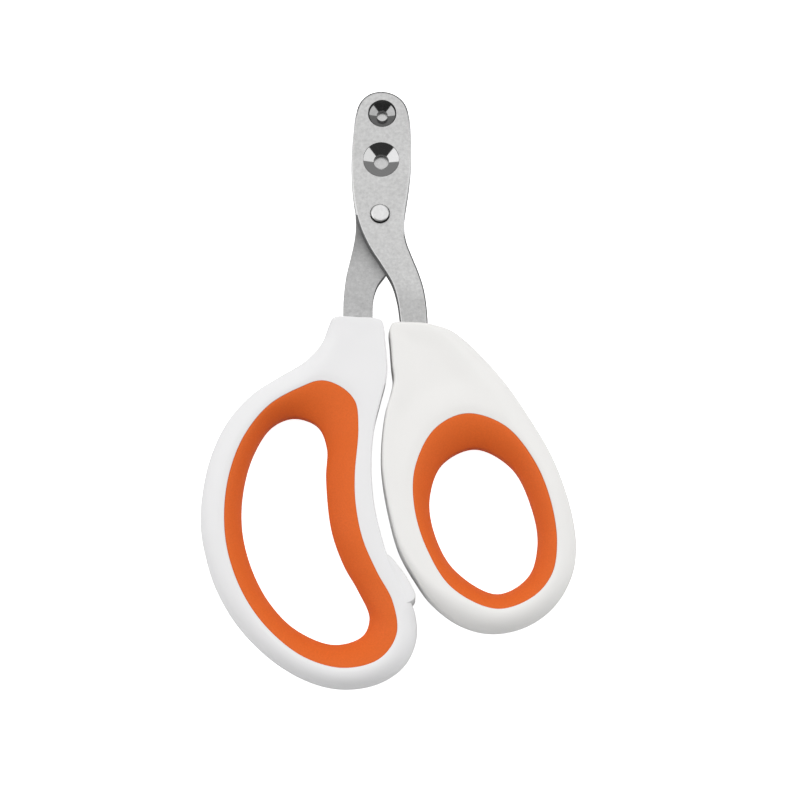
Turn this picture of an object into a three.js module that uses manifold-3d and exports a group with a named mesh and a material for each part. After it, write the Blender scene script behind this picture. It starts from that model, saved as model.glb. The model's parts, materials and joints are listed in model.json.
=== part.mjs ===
// Scissor-type pet nail trimmer: two riveted steel blades, two moulded handles, two soft grip liners.
//
// The tool is drawn in a working frame whose Z axis is the pivot: +Y runs to the blade tip, z = 0 is the
// plane in which the blades slide on each other, and the front blade lies on the +Z side. At the end the
// whole tool is shifted so that its origin is the bottom centre of its bounding box. Units: millimetres.

import * as THREE from 'three';
import { mergeVertices } from 'three/addons/utils/BufferGeometryUtils.js';
import Module from 'manifold-3d';

const wasm = await Module();
wasm.setup();

// ---------------------------------------------------------------- driving dimensions

const HALF_THICKNESS = 5;        // handle faces are at z = +5 and z = -5
const SIDE_BAND = 0.9;           // half height of the straight band round a handle's side
const GRIP_FACE = 4.6;           // height of a liner where it meets the handle's face
const GRIP_GAP = 0.3;            // clearance between a liner and its handle
const RIB_HEIGHT = 1.1;          // half height of the liner's locking rib
const RIB_DEPTH = 1.0;           // how far the rib stands into the handle
const RIB_SLOPE = 0.5;           // height over which the rib rises to its full depth

const PLATE_FACE = 2.5;          // outer face of each blade, above or below the sliding plane
const SLIDE_GAP = 0.05;          // each blade's distance from the sliding plane
const TANG_GAP = 0.2;            // clearance round a tang in its handle
const ANCHOR_RADIUS = 1.4;       // hole in a tang that locks it in its handle
const POST_RADIUS = 1.2;         // moulded post through that hole
const LEFT_ANCHOR = [-4.1, -29];
const RIGHT_ANCHOR = [7.7, -33];

const PIVOT_HOLE_RADIUS = 1.95;
const SHANK_RADIUS = 1.9;
const SHANK_END = 3.5;           // the rivet's plain end stands 1 mm proud of the front blade
const RIVET_HEAD_RADIUS = 3.4;
const RIVET_HEAD_TOP = -2.6;
const RIVET_HEAD_BOTTOM = -3.6;

// Claw holes: height above the pivot, radius at the sliding face, and the cone's radius at its foot
// and at the front face.
const CONE_FOOT = 0.5;
const CLAW_HOLES = [
  { y: 11.9, land: 1.6, foot: 1.9, mouth: 3.75 },
  { y: 22.1, land: 1.05, foot: 1.3, mouth: 2.95 },
];

const OUTLINE_SAMPLES = 90;
const GRIP_SAMPLES = 64;
const EDGE_STEPS = 3;
const FLARE_STEPS = 4;
const ROUND_SEGMENTS = 32;

// ---------------------------------------------------------------- outlines
//
// Each outline is a closed smooth curve through its points, counter-clockwise seen from +Z.
// The third number of a point is the width of the rounding or bevel along that stretch of edge.

const LEFT_HANDLE_OUTLINE = [
  // neck, from its inner corner to its outer one
  [-0.6, -22.95, 0.8], [-4.0, -22.85, 0.8], [-8.0, -22.7, 1.0], [-9.3, -23.1, 1.6], [-10.1, -24.6, 2.4],
  // shoulder and outer side of the two-finger loop
  [-11.4, -27.8, 3.4], [-14.6, -31.5, 4.2], [-20.0, -35.1, 4.4], [-25.6, -39.1, 4.4],
  [-30.2, -44.7, 4.4], [-33.4, -52.3, 4.4], [-34.8, -60.7, 4.4], [-34.8, -66.5, 4.4],
  [-33.8, -71.8, 4.4], [-31.2, -79.2, 4.4], [-26.3, -86.7, 4.4], [-19.2, -93.2, 4.4],
  // bottom of the loop
  [-11.5, -97.2, 4.4], [-4.9, -98.3, 4.4], [1.8, -97.0, 4.4], [6.9, -93.4, 4.4], [9.15, -88.2, 4.0],
  [8.9, -83.9, 3.0], [7.8, -81.0, 2.0],
  // inner side, which faces the other handle
  [5.5, -77.0, 1.2], [3.3, -72.6, 0.9], [1.85, -68.2, 0.9], [0.3, -62.0, 0.9], [-0.5, -53.6, 0.9],
  [0.0, -45.5, 0.9], [1.25, -39.6, 0.9], [2.15, -35.6, 0.9], [2.25, -33.2, 0.9], [1.75, -27.8, 0.9],
  [1.4, -24.8, 0.8], [0.85, -23.4, 0.8],
];

const RIGHT_HANDLE_OUTLINE = [
  // neck, from its outer corner to its inner one
  [15.3, -24.9, 2.6], [12.4, -23.9, 1.6], [9.5, -23.45, 1.0], [6.5, -23.4, 0.8], [4.2, -23.4, 0.8],
  // inner side, which faces the other handle
  [2.75, -23.85, 0.8], [2.25, -25.2, 0.8], [2.5, -28.0, 0.9], [2.95, -32.9, 0.9], [3.3, -35.8, 0.9],
  [2.85, -38.4, 0.9], [1.85, -42.4, 0.9], [1.2, -49.6, 0.9], [1.4, -55.0, 0.9], [2.9, -63.1, 0.9],
  [5.2, -70.8, 1.2], [8.4, -76.3, 1.8], [12.2, -81.2, 3.2],
  // bottom of the thumb loop
  [17.4, -85.1, 4.2], [23.3, -86.7, 4.4], [29.7, -85.7, 4.4], [34.8, -82.8, 4.4], [38.4, -78.7, 4.4],
  // outer side of the loop, up to the neck
  [40.4, -74.0, 4.4], [40.9, -69.0, 4.4], [40.3, -63.7, 4.4], [38.2, -56.2, 4.4], [35.2, -49.1, 4.4],
  [31.0, -42.0, 4.4], [26.8, -35.9, 4.4], [22.6, -31.0, 4.2], [19.0, -27.5, 3.6],
];

// Where each liner meets its handle's face, where its throat is narrowest, and a point in the loop
// from which both of these curves can be seen all round.
const LEFT_LOOP = {
  centre: [-18, -67],
  rim: [
    [-3.9, -55.9], [-3.4, -46.0], [-4.2, -40.5], [-7.2, -37.3], [-11.2, -36.0], [-15.6, -37.5],
    [-21.9, -41.3], [-26.7, -47.6], [-29.5, -55.2], [-30.4, -63.6], [-29.3, -72.1], [-25.8, -80.6],
    [-20.4, -87.7], [-13.0, -93.1], [-5.0, -95.0], [2.0, -92.9], [5.1, -87.8], [4.2, -81.3],
    [0.9, -75.3], [-2.1, -68.6], [-3.6, -61.6],
  ],
  throat: [
    [-9.8, -56.0], [-9.8, -49.6], [-11.8, -45.0], [-16.7, -43.3], [-21.2, -45.3], [-24.8, -51.4],
    [-26.6, -59.5], [-26.4, -67.2], [-24.1, -75.0], [-20.3, -81.7], [-14.9, -86.9], [-7.3, -89.7],
    [-1.6, -87.8], [-0.4, -84.0], [-2.9, -78.4], [-5.8, -73.5], [-8.5, -66.3],
  ],
};

const RIGHT_LOOP = {
  centre: [23, -63],
  rim: [
    [37.1, -69.0], [35.9, -60.5], [32.4, -52.0], [26.3, -44.7], [18.3, -42.3], [11.7, -45.7],
    [7.9, -53.8], [7.7, -61.8], [10.5, -70.8], [15.9, -78.6], [24.9, -82.5], [32.2, -79.9],
    [36.1, -75.3],
  ],
  throat: [
    [33.2, -68.5], [31.8, -60.5], [27.8, -52.8], [20.4, -49.0], [13.7, -52.4], [11.3, -59.7],
    [12.4, -67.0], [16.5, -74.2], [25.0, -78.9], [31.2, -75.4],
  ],
};

// The right side of both blade heads, from the pivot up to the tip.
const HEAD_RIGHT = [
  [5.2, 0.6, 0.35], [5.8, 5.4, 0.35], [6.2, 9.6, 0.35], [6.3, 13.4, 0.35], [6.15, 17.5, 0.35],
  [5.7, 21.6, 0.35], [4.7, 24.5, 0.35], [2.8, 26.3, 0.35], [0.0, 27.1, 0.35],
];

const FRONT_BLADE_OUTLINE = [
  // outer edge of the tang, which bends across to the right handle
  [9.9, -38.5, 0.35], [10.3, -30.0, 0.35], [10.3, -22.8, 0.35], [9.5, -16.5, 0.35],
  [8.3, -12.6, 0.35], [6.8, -9.0, 0.35], [5.55, -5.7, 0.35], [5.1, -2.4, 0.35],
  ...HEAD_RIGHT,
  // left side of the head
  [-2.7, 26.5, 0.35], [-4.6, 24.7, 0.35], [-5.6, 21.7, 0.35], [-6.0, 17.5, 0.35],
  [-6.2, 13.4, 0.35], [-6.2, 9.4, 0.35], [-5.9, 5.2, 0.35], [-5.3, 1.3, 0.35],
  // inner edge of the tang and its rounded end
  [-4.7, -1.2, 0.35], [-3.7, -4.0, 0.35], [-1.9, -7.6, 0.35], [0.6, -11.4, 0.35],
  [2.7, -14.9, 0.35], [3.8, -18.4, 0.35], [4.4, -22.0, 0.35], [5.0, -28.0, 0.35],
  [5.4, -38.0, 0.35], [6.2, -39.7, 0.35], [8.9, -39.8, 0.35],
];

const REAR_BLADE_OUTLINE = [
  // inner edge of the tang, which bends across to the left handle
  [-1.2, -32.0, 0.35], [-1.1, -22.0, 0.35], [-1.0, -17.4, 0.35], [-0.2, -14.7, 0.35],
  [1.4, -12.3, 0.35], [3.2, -9.3, 0.35], [4.4, -6.0, 0.35], [4.9, -2.6, 0.35],
  ...HEAD_RIGHT,
  // two scallops with a wide bevel: the cutting edge that sweeps across the claw holes
  [-2.4, 26.5, 0.5], [-3.5, 25.2, 1.2], [-2.9, 23.7, 1.6], [-2.5, 21.9, 1.6], [-2.9, 19.6, 1.6],
  [-3.9, 17.3, 1.6], [-3.2, 14.8, 1.6], [-2.6, 12.2, 1.6], [-3.0, 9.4, 1.6], [-4.4, 6.6, 1.4],
  [-5.2, 3.6, 0.8],
  // outer edge of the tang and its rounded end
  [-5.2, 0.8, 0.35], [-5.0, -1.8, 0.35], [-5.2, -4.9, 0.35], [-5.9, -8.8, 0.35],
  [-6.8, -13.2, 0.35], [-7.2, -18.0, 0.35], [-7.2, -22.0, 0.35], [-7.1, -32.0, 0.35],
  [-6.2, -33.8, 0.35], [-2.2, -33.9, 0.35],
];
const BEVEL_STEEPNESS = 1.45;    // height of a blade's bevel over its width

// The stop nub on the left handle bears on the right handle when the blades are closed.
const STOP_NUB = [
  [2.6, -74.0], [5.2, -80.5], [7.9, -80.9], [9.1, -79.8], [9.3, -78.6], [8.4, -77.0], [7.2, -75.1],
  [6.1, -73.9], [4.5, -72.7], [3.1, -71.6],
];
const NUB_HALF_HEIGHT = 3.6;
const NUB_EDGE = 0.5;

// ---------------------------------------------------------------- solids

// A closed curve through the points, as evenly spaced samples. z carries the edge width.
function sampleOutline(points, count) {
  const knots = points.map(([x, y, width = 0]) => new THREE.Vector3(x, y, width));
  const curve = new THREE.CatmullRomCurve3(knots, true, 'centripetal');
  return curve.getSpacedPoints(count).slice(0, count);
}

// The samples moved inwards by distance(sample); a negative distance moves them outwards.
function inset(loop, distance) {
  return loop.map((point, i) => {
    const before = loop[(i + loop.length - 1) % loop.length];
    const after = loop[(i + 1) % loop.length];
    const along = new THREE.Vector2(after.x - before.x, after.y - before.y).normalize();
    const step = distance(point);
    return new THREE.Vector3(point.x - along.y * step, point.y + along.x * step, point.z);
  });
}

// The samples as a ring of corners at a height, or at a height worked out for each sample.
function ring(loop, height) {
  const heightAt = typeof height === 'function' ? height : () => height;
  return loop.map((point) => new THREE.Vector3(point.x, point.y, heightAt(point)));
}

// The point of a curve in the direction of an angle seen from the centre.
function pointAtAngle(loop, centre, angle) {
  const ray = new THREE.Vector2(Math.cos(angle), Math.sin(angle));
  for (let i = 0; i < loop.length; i += 1) {
    const a = new THREE.Vector2(loop[i].x - centre[0], loop[i].y - centre[1]);
    const next = loop[(i + 1) % loop.length];
    const b = new THREE.Vector2(next.x - centre[0], next.y - centre[1]);
    const sideA = ray.cross(a);
    const sideB = ray.cross(b);
    if (sideA <= 0 && sideB > 0) {
      const t = sideA / (sideA - sideB);
      const hit = a.lerp(b, t);
      if (hit.dot(ray) > 0) {
        return new THREE.Vector3(hit.x + centre[0], hit.y + centre[1], 0);
      }
    }
  }
  throw new Error('the curve does not go round its centre');
}

// Bands of triangles between neighbouring rings, which all have the same number of corners.
function bandIndices(ringCount, corners, closed) {
  const indices = [];
  const bands = closed ? ringCount : ringCount - 1;
  for (let k = 0; k < bands; k += 1) {
    const low = k * corners;
    const high = ((k + 1) % ringCount) * corners;
    for (let i = 0; i < corners; i += 1) {
      const j = (i + 1) % corners;
      indices.push(low + i, low + j, high + j, low + i, high + j, high + i);
    }
  }
  return indices;
}

function toManifold(geometry) {
  const bare = new THREE.BufferGeometry();
  bare.setAttribute('position', geometry.getAttribute('position').clone());
  bare.setIndex(geometry.getIndex());
  const merged = mergeVertices(bare, 1e-4);
  const index = merged.getIndex().array;
  const triangles = [];
  for (let i = 0; i < index.length; i += 3) {
    const [a, b, c] = [index[i], index[i + 1], index[i + 2]];
    if (a !== b && b !== c && c !== a) {
      triangles.push(a, b, c);
    }
  }
  return new wasm.Manifold(new wasm.Mesh({
    numProp: 3,
    vertProperties: new Float32Array(merged.getAttribute('position').array),
    triVerts: new Uint32Array(triangles),
  }));
}

function geometryOf(rings, indices) {
  const geometry = new THREE.BufferGeometry();
  const positions = rings.flat().flatMap((corner) => [corner.x, corner.y, corner.z]);
  geometry.setAttribute('position', new THREE.Float32BufferAttribute(positions, 3));
  geometry.setIndex(indices);
  return geometry;
}

// A solid between stacked rings, from the lowest to the highest, with a flat cap at each end.
function stackedSolid(rings) {
  const corners = rings[0].length;
  const indices = bandIndices(rings.length, corners, false);
  const flat = (loop) => loop.map((corner) => new THREE.Vector2(corner.x, corner.y));
  const top = (rings.length - 1) * corners;
  for (const [a, b, c] of THREE.ShapeUtils.triangulateShape(flat(rings[0]), [])) {
    indices.push(a, c, b);
  }
  for (const [a, b, c] of THREE.ShapeUtils.triangulateShape(flat(rings.at(-1)), [])) {
    indices.push(top + a, top + b, top + c);
  }
  return toManifold(geometryOf(rings, indices));
}

// A ring-shaped solid: the rings run round its section, and the last joins the first.
function annularSolid(rings) {
  return toManifold(geometryOf(rings, bandIndices(rings.length, rings[0].length, true)));
}

// A solid of revolution about a line parallel to Z; the profile is a list of [radius, z], going up.
function turnedSolid(profile, x = 0, y = 0) {
  const points = profile.map(([radius, z]) => new THREE.Vector2(radius, z));
  const geometry = new THREE.LatheGeometry(points, ROUND_SEGMENTS);
  geometry.rotateX(Math.PI / 2);
  geometry.translate(x, y, 0);
  return toManifold(geometry);
}

function cylinder(radius, low, high, x, y) {
  return turnedSolid([[0, low], [radius, low], [radius, high], [0, high]], x, y);
}

// ---------------------------------------------------------------- blades

function frontBlade() {
  const edge = sampleOutline(FRONT_BLADE_OUTLINE, OUTLINE_SAMPLES);
  const face = inset(edge, (point) => point.z);
  let blade = stackedSolid([
    ring(edge, SLIDE_GAP),
    ring(edge, (point) => PLATE_FACE - point.z),
    ring(face, PLATE_FACE),
  ]);
  for (const { y, land, foot, mouth } of CLAW_HOLES) {
    const slope = (mouth - foot) / (PLATE_FACE - CONE_FOOT);
    blade = blade.subtract(turnedSolid([
      [0, -1],
      [land, -1],
      [land, SLIDE_GAP],
      [foot, CONE_FOOT],
      [mouth + slope, PLATE_FACE + 1],
      [0, PLATE_FACE + 1],
    ], 0, y));
  }
  return blade
    .subtract(cylinder(PIVOT_HOLE_RADIUS, -1, PLATE_FACE + 1, 0, 0))
    .subtract(cylinder(ANCHOR_RADIUS, -1, PLATE_FACE + 1, ...RIGHT_ANCHOR));
}

function rearBlade() {
  const edge = sampleOutline(REAR_BLADE_OUTLINE, OUTLINE_SAMPLES);
  const face = inset(edge, (point) => point.z);
  return stackedSolid([
    ring(face, -PLATE_FACE),
    ring(edge, (point) => -PLATE_FACE + point.z * BEVEL_STEEPNESS),
    ring(edge, -SLIDE_GAP),
  ])
    .subtract(cylinder(PIVOT_HOLE_RADIUS, -PLATE_FACE - 1, 1, 0, 0))
    .subtract(cylinder(ANCHOR_RADIUS, -PLATE_FACE - 1, 1, ...LEFT_ANCHOR));
}

function rivet() {
  return turnedSolid([
    [0, RIVET_HEAD_BOTTOM],
    [1.8, RIVET_HEAD_BOTTOM + 0.1],
    [2.9, RIVET_HEAD_BOTTOM + 0.4],
    [RIVET_HEAD_RADIUS, RIVET_HEAD_TOP - 0.3],
    [RIVET_HEAD_RADIUS, RIVET_HEAD_TOP],
    [SHANK_RADIUS, RIVET_HEAD_TOP],
    [SHANK_RADIUS, SHANK_END - 0.3],
    [SHANK_RADIUS - 0.25, SHANK_END - 0.08],
    [0, SHANK_END],
  ]);
}

// ---------------------------------------------------------------- handles and liners

// The space that a tang takes up in its handle, with clearance all round.
function tangPocket(outline, low, high) {
  const loop = inset(sampleOutline(outline, OUTLINE_SAMPLES), () => -TANG_GAP);
  return stackedSolid([ring(loop, low - TANG_GAP), ring(loop, high + TANG_GAP)]);
}

// The handle's plain body: a rounded slab whose edge radius follows the outline's edge widths.
function handleBody(outline) {
  const edge = sampleOutline(outline, OUTLINE_SAMPLES);
  const rise = HALF_THICKNESS - SIDE_BAND;
  const upper = [];
  for (let k = 0; k <= EDGE_STEPS; k += 1) {
    const angle = (k / EDGE_STEPS) * (Math.PI / 2);
    const loop = inset(edge, (point) => point.z * (1 - Math.cos(angle)));
    upper.push({ loop, height: SIDE_BAND + rise * Math.sin(angle) });
  }
  const lower = upper.map(({ loop, height }) => ring(loop, -height)).reverse();
  return stackedSolid([...lower, ...upper.map(({ loop, height }) => ring(loop, height))]);
}

// The opening for a liner, with a groove round its middle for the liner's rib.
function linerOpening(loopShape) {
  const rim = sampleOutline(loopShape.rim, GRIP_SAMPLES);
  const groove = inset(rim, () => -RIB_DEPTH);
  const clear = HALF_THICKNESS + 1;
  const shoulder = RIB_HEIGHT + RIB_SLOPE;
  return stackedSolid([
    ring(rim, -clear),
    ring(rim, -shoulder),
    ring(groove, -RIB_HEIGHT),
    ring(groove, RIB_HEIGHT),
    ring(rim, shoulder),
    ring(rim, clear),
  ]);
}

function leftHandle() {
  const nub = sampleOutline(STOP_NUB, GRIP_SAMPLES / 2);
  const nubFace = inset(nub, () => NUB_EDGE);
  const nubSolid = stackedSolid([
    ring(nubFace, -NUB_HALF_HEIGHT),
    ring(nub, NUB_EDGE - NUB_HALF_HEIGHT),
    ring(nub, NUB_HALF_HEIGHT - NUB_EDGE),
    ring(nubFace, NUB_HALF_HEIGHT),
  ]);
  return handleBody(LEFT_HANDLE_OUTLINE)
    .add(nubSolid)
    .subtract(linerOpening(LEFT_LOOP))
    .subtract(tangPocket(REAR_BLADE_OUTLINE, -PLATE_FACE, -SLIDE_GAP))
    .add(cylinder(POST_RADIUS, -HALF_THICKNESS + 1, 1, ...LEFT_ANCHOR));
}

function rightHandle() {
  return handleBody(RIGHT_HANDLE_OUTLINE)
    .subtract(linerOpening(RIGHT_LOOP))
    .subtract(tangPocket(FRONT_BLADE_OUTLINE, SLIDE_GAP, PLATE_FACE))
    .add(cylinder(POST_RADIUS, -1, HALF_THICKNESS - 1, ...RIGHT_ANCHOR));
}

// A soft liner: a locking rib outside, and a face that rolls from the rim down to the throat.
function gripLiner(loopShape) {
  const rimCurve = inset(sampleOutline(loopShape.rim, 4 * GRIP_SAMPLES), () => GRIP_GAP);
  const throatCurve = sampleOutline(loopShape.throat, 4 * GRIP_SAMPLES);
  const angles = Array.from({ length: GRIP_SAMPLES }, (_, i) => (i / GRIP_SAMPLES) * 2 * Math.PI);
  const rim = angles.map((angle) => pointAtAngle(rimCurve, loopShape.centre, angle));
  const throat = angles.map((angle) => pointAtAngle(throatCurve, loopShape.centre, angle));
  const rib = inset(rim, () => -RIB_DEPTH);
  const shoulder = RIB_HEIGHT - GRIP_GAP + RIB_SLOPE;
  const rings = [
    ring(rim, -shoulder),
    ring(rib, GRIP_GAP - RIB_HEIGHT),
    ring(rib, RIB_HEIGHT - GRIP_GAP),
    ring(rim, shoulder),
  ];
  for (let k = 0; k <= 2 * FLARE_STEPS; k += 1) {
    const angle = (k / FLARE_STEPS) * (Math.PI / 2);
    const across = throat.map((point, i) => rim[i].clone().lerp(point, Math.sin(angle)));
    rings.push(ring(across, GRIP_FACE * Math.cos(angle)));
  }
  return annularSolid(rings);
}

// ---------------------------------------------------------------- assembly

const STEEL = { color: 0xc4c6c8, roughness: 0.38, metalness: 1 };
const WHITE_PLASTIC = { color: 0xf2f1ee, roughness: 0.4, metalness: 0 };
const ORANGE_RUBBER = { color: 0xdc6b2c, roughness: 0.75, metalness: 0 };

const PIECES = [
  ['front_blade', frontBlade, STEEL],
  ['rear_blade', rearBlade, STEEL],
  ['pivot_rivet', rivet, STEEL],
  ['left_handle', leftHandle, WHITE_PLASTIC],
  ['right_handle', rightHandle, WHITE_PLASTIC],
  ['left_grip', () => gripLiner(LEFT_LOOP), ORANGE_RUBBER],
  ['right_grip', () => gripLiner(RIGHT_LOOP), ORANGE_RUBBER],
];

function meshOf(name, solid, look) {
  const { vertProperties, triVerts } = solid.getMesh();
  const geometry = new THREE.BufferGeometry();
  geometry.setAttribute('position', new THREE.BufferAttribute(new Float32Array(vertProperties), 3));
  geometry.setIndex(new THREE.BufferAttribute(new Uint32Array(triVerts), 1));
  geometry.computeVertexNormals();
  const mesh = new THREE.Mesh(geometry, new THREE.MeshStandardMaterial(look));
  mesh.name = name;
  return mesh;
}

const tool = new THREE.Group();
for (const [name, build, look] of PIECES) {
  tool.add(meshOf(name, build(), look));
}

const box = new THREE.Box3().setFromObject(tool);
tool.position.set(-(box.min.x + box.max.x) / 2, -(box.min.y + box.max.y) / 2, -box.min.z);

const group = new THREE.Group();
group.add(tool);

export default group;
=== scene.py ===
"""Looks of the scissor-type pet nail trimmer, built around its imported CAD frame.

Shapes are drawn in millimetres in the tool's own working frame: the pivot axis is Z at x = y = 0,
+Y runs to the blade tip, and z = 0 is the plane in which the blades slide. make_object() takes them
to the row frame, which is in metres.
"""

import json
import math

import bmesh
import bpy
import numpy as np
from mathutils import Matrix, Vector
from mathutils.geometry import delaunay_2d_cdt


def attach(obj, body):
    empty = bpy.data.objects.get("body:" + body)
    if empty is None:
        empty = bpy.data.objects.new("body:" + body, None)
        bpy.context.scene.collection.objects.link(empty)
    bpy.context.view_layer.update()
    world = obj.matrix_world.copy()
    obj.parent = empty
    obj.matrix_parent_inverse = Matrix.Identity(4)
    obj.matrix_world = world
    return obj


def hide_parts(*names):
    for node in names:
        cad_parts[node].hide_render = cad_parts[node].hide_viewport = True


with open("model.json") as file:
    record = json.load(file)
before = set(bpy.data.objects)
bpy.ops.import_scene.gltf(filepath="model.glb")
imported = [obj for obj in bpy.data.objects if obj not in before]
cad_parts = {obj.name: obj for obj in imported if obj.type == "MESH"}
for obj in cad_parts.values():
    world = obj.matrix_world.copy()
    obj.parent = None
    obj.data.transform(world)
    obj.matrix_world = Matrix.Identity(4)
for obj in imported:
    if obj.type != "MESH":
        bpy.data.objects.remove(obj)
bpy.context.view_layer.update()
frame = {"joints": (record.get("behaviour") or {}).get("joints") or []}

MM = 0.001
PIVOT = Vector(frame["joints"][0]["pos_m"])
LEFT_BODY = "left_half"
RIGHT_BODY = "right_half"

# ---------------------------------------------------------------- driving dimensions, millimetres

FACE = 5.0                # height of the handles' faces above the sliding plane
SIDE = 0.9                # half height of the straight band round a handle's side
BOX_CLEARANCE = 0.02      # keeps the smooth skins inside the faceted frame
# A handle's steep inner wall leans in by its draft towards either face, and its back half stands
# further in by its tuck. The rounding along that wall is narrower than in the frame by the share
# called crisp. The face is a dish of the given depth.
LEFT_SHAPE = {"crisp": 0.5, "draft": 0.05, "tuck": 0.5, "dish": 0.16}
RIGHT_SHAPE = {"crisp": 0.1, "draft": 0.25, "tuck": 0.0, "dish": 0.36}
STEEP_WIDTHS = (1.0, 3.0)  # widths of rounding between which a side goes from steep to easy
STEEP_RISE = 0.1          # how much taller than wide a steep side's rounding is
PARTING_LINE = ((0.035, 0.0), (0.03, 0.03), (0.0, 0.07))  # depth and height of its rows
LEAST_FACE = 0.5          # narrowest flat between the rounding and the liner
FACE_SPACING = 0.8        # spacing of the points that carry a handle's faces
ROW_SHARE = 0.866         # and of their rows, as a share of that
CLEAR_SHARE = 0.45        # and how far they keep from the edges, likewise
DISH_FROM_RIM = (2.5, 8.0)   # distances from the liner over which the dish deepens
DISH_FROM_BROW = (0.2, 4.6)  # and from the face's outer edge
ROLL_FROM_RIM = 1.6       # distance from the liner at which the face begins to roll down
ROLL_FROM_BROW = 0.8      # and from the outer edge, where it must have stopped
NUB_FILLET = 0.3
NUB_SINK = 0.06
NUB_FALL = 0.11
NUB_ROOT = (3.3, -72.6)   # where the nub leaves the handle
NUB_OUTWARD = (0.88, 0.47)
NUB_BEND = 1.6            # distance before the root at which the nub begins to curve down
NUB_REACH = 5             # and over which it goes on curving
RIM_FILLET = 0.08         # rounding of the plastic where it meets the liner
RIM_DROP = 0.28           # how far the face has rolled down at that rounding
GRIP_FACE = 4.64          # height of the liner at its rim
GRIP_FILLET = 0.07
THROAT_EDGE = 1.0         # half height of the straight wall round a finger hole
GRIP_ROUNDNESS = 0.3      # 1 for a quarter ellipse from rim to throat, 0 for a rounded funnel
GRIP_FALL_POWER = 1.6     # the higher, the later that funnel falls
SEAM = 0.01               # hairline between the liner and the plastic
SEAM_ROW = 3.0            # height of the middle row of the walls on both its sides
RIB_HEIGHT = 1.1
RIB_DEPTH = 1.0
RIB_SLOPE = 0.5

PLATE_FACE = 2.5
SLIDE_GAP = 0.05
PLATE_CROWN = 0.65        # width of the rounding along a blade's edges, and its depth
PLATE_CROWN_DEPTH = 0.45
HEM = 0.04                # flat strip at the end of a rounding, which keeps a face's shading level
# Rows of the edge at a sliding face: how far in from the outline, and how far off that face.
FRONT_SLIDE_ROWS = ((0.1, 0.0), (0.05, 0.0), (0.0, 0.05), (0.0, 1.0))
REAR_SLIDE_ROWS = ((0.0, 0.04), (0.03, 0.0), (0.07, 0.0))
BREAK = 0.08              # broken edge of a hole
POCKET_GAP = 0.05

PIVOT_HOLE_RADIUS = 1.95
PIVOT_CHAMFER = 0.15
SHANK_RADIUS = 1.9
SHANK_END = 3.5
RIVET_SHOULDER = 0.34     # width of the rounding round the rivet's front end, and its depth
RIVET_SHOULDER_DEPTH = 0.5
RIVET_END_DOME = 0.05     # rise of the front end within that rounding
RIVET_HEAD_DOME = 0.62    # rise of the head behind
RIVET_HEAD_BREAK = 0.06   # broken edge of the head
RIVET_HEAD_RADIUS = 3.4
RIVET_HEAD_TOP = -2.6
RIVET_HEAD_BOTTOM = -3.6
ANCHOR_RADIUS = 1.4       # hole in a tang that locks it in its handle
POST_RADIUS = 1.2         # moulded post through that hole
POST_ROOT = 1.0           # depth to which each of its ends is set in the plastic
LEFT_ANCHOR = (-4.1, -29.0)
RIGHT_ANCHOR = (7.7, -33.0)

# WALL and the last slot hold painted shade: near black edge walls, and a darker cone in the small
# claw hole.
SURFACE, CROWN, WALL, GROUND, HONED, SHADED_GROUND = range(6)  # material slots of a blade
# The rivet's side slot is painted near black as the shade round its front end.
RIVET_SIDE = 1            # second material slot of the rivet, after SURFACE
# A claw hole's countersink runs from its mouth to its foot, and its land is the bore below. finish
# is the cone's slot; the cone of the smaller, deeper hole is ground steel painted darker as shade.
CLAW_HOLES = (
    {"y": 11.9, "land": 1.55, "foot": 1.6, "mouth": 3.75, "brim": 0.03, "finish": GROUND},
    {"y": 22.1, "land": 1.12, "foot": 1.17, "mouth": 2.95, "brim": 0.25, "finish": SHADED_GROUND},
)
CONE_SLOPE = 0.577        # fall of a countersink for each mm towards its centre
BRIM_SLOPE = 2.0          # and on its narrow brim
MOUTH_ROWS = ((0.1, 0.0), (0.05, 0.0), (0.015, 0.02))  # width past the mouth, depth in the face
MOUTH_BREAK = 0.03        # depth at which the brim begins
LAND_SHOULDER = (0.04, 0.12)  # width past the land of the step above it, and the step's fall
LAND_ROWS = ((0.0, 0.03), (0.01, 0.0), (0.06, 0.0))    # width past the land, height over the back

# Finishes, and the painted shade of edge walls, are told apart by how level a polygon lies: the
# size of its normal's Z.
LEVEL = 0.97              # a blade's face
LEVEL_BY_HOLE = 0.98      # the same round a claw hole, and on the sliding face
CROWN_LEVEL = 0.90        # down to here an edge is tumbled bright
FLANK_CROWN_LEVEL = 0.3   # and down to here along the head's flanks
FLANK_SIDEWAYS = 0.97     # how squarely a flank faces sideways
FLANK_END_LEFT = -0.8     # y at which the head's flanks end
FLANK_END_RIGHT = -4.5
HONED_END = 2             # y at which the honed part of the sliding face ends
BEVEL_LEVELS = (0.3, 0.9)
RIVET_SIDE_LEVEL = 0.45

NOISE_SPAN = (0.3, 0.7)   # the span in which nearly all of a noise lies
STEEL_DARKER = 0.15       # how much darker the mottles of the steel are than its colour
STEEL_LIGHTER = 0.11      # and how much lighter

TENT_TOP = 0.98           # brightness of the light tent, part by part
TENT_LEFT = 1.28
TENT_RIGHT = 1.12
TENT_BACK = 0.30
TENT_OPENING = 0.045
TENT_FRONT = 0.36
FRONT_RIM = 0.80          # sine of the elevation up to which the sides and the opening reach
BACK_RIM = 0.50           # and the darker back
RIM_BLUR = 0.1
OPENING_SILL = 0.56       # sine of the elevation at which the opening begins
SILL_BLUR = 0.06
OPENING_TURN = (-29, -26)  # bearings in degrees over which the opening turns into the sides
BACK_TURN = (26, 28)      # and the sides into the back
SIDE_BLUR = 0.1           # sideways reach of the change from the left panel to the right one
SOFTBOXES = (             # name, place and size in metres, watts
    ("key", (0.45, 0.50, 0.74), 0.40, 2.4),
    ("fill", (-0.62, 0.30, 0.50), 0.50, 1.2),
)
BACKDROP = 0.95
FLOOR_GLOW = 0.92
FLOOR_HALF = 3.0          # metres

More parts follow.
